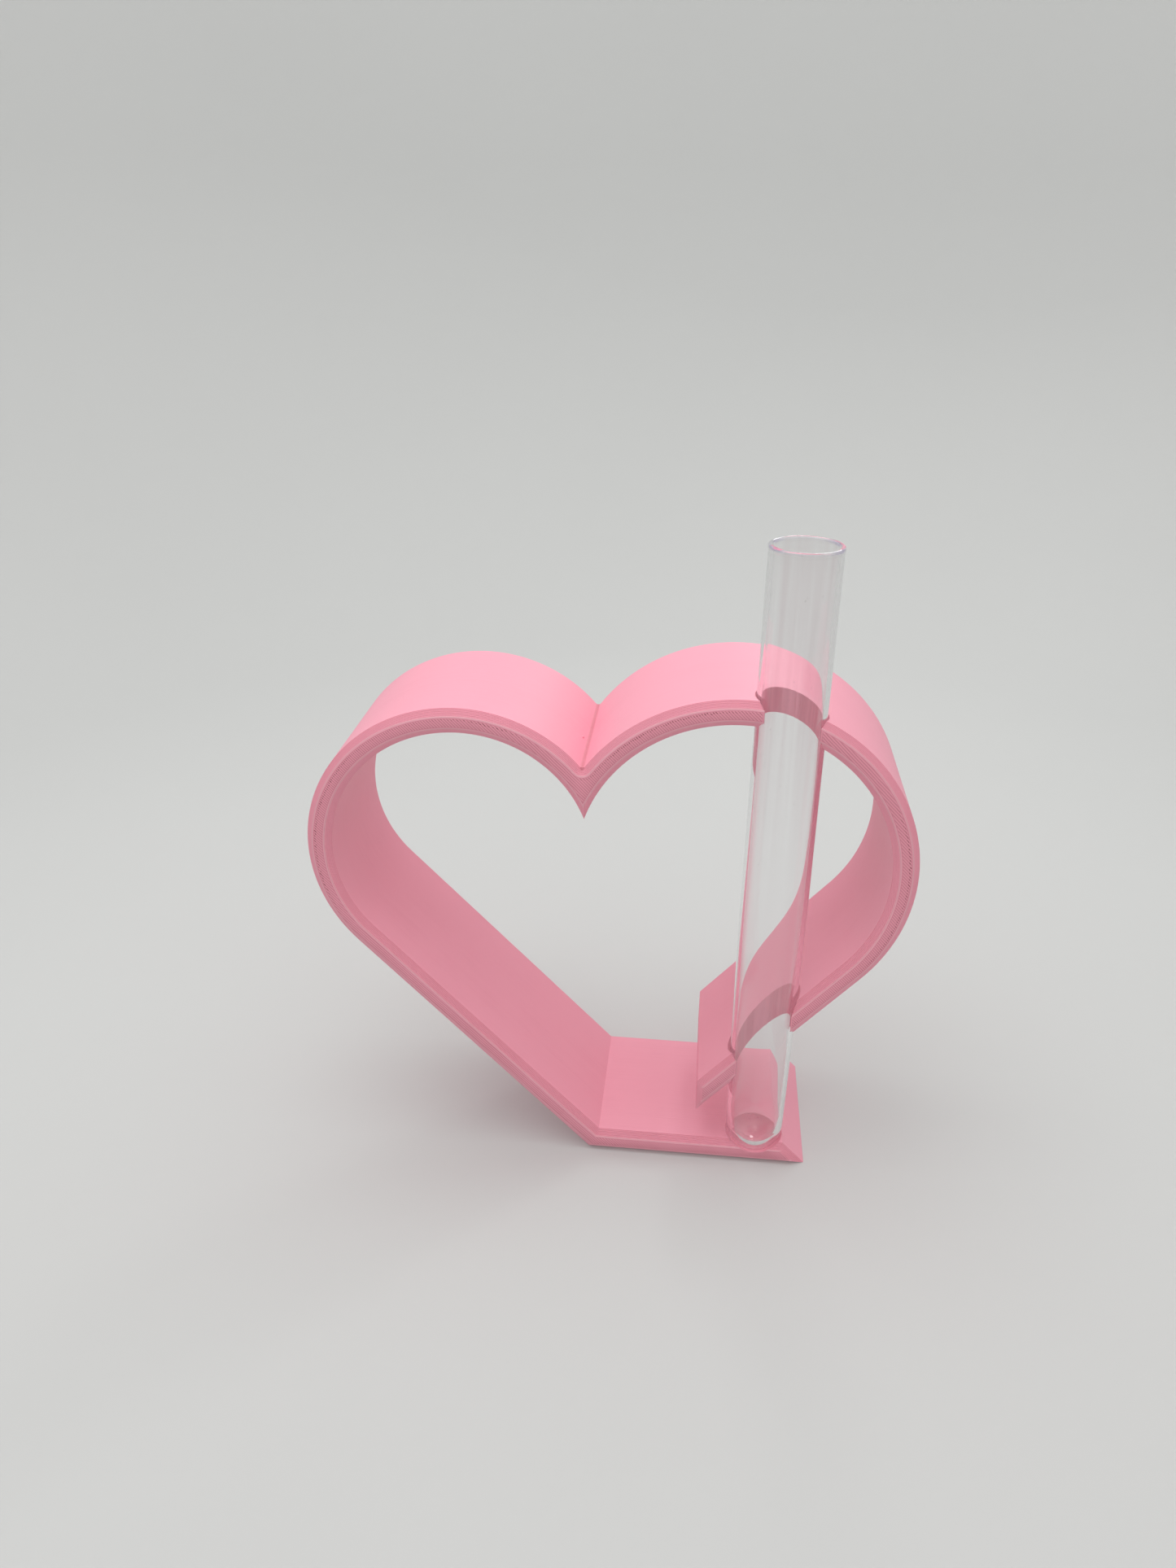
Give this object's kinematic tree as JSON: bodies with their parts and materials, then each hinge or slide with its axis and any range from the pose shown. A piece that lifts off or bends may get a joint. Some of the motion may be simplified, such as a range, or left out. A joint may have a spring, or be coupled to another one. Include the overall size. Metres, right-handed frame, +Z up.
{
  "type": "test tube bud vase stand",
  "caption": "Heart-shaped ribbon stand whose flat foot and two snap notches hold an upright round-bottomed clear tube as a bud vase.",
  "frame": {"origin": "middle of the underside of the foot, on the table", "axes": "+Z up along the tube; -Y is the front, where the tube stands proud; +X runs along the foot towards its free end and the larger lobe"},
  "size_m": [0.1352, 0.0424, 0.1524],
  "materials": {
    "pink_print": "satin printed layers",
    "clear_tube": "clear polished"
  },
  "bodies": {
    "stand": {"heart_stand": "pink_print"},
    "tube": {"test_tube": "clear_tube"}
  },
  "joints": [
    {"name": "tube_lift", "type": "slide", "parent": "stand", "child": "tube", "axis": [0, 0, 1], "range_m": [0, 0.13]}
  ]
}
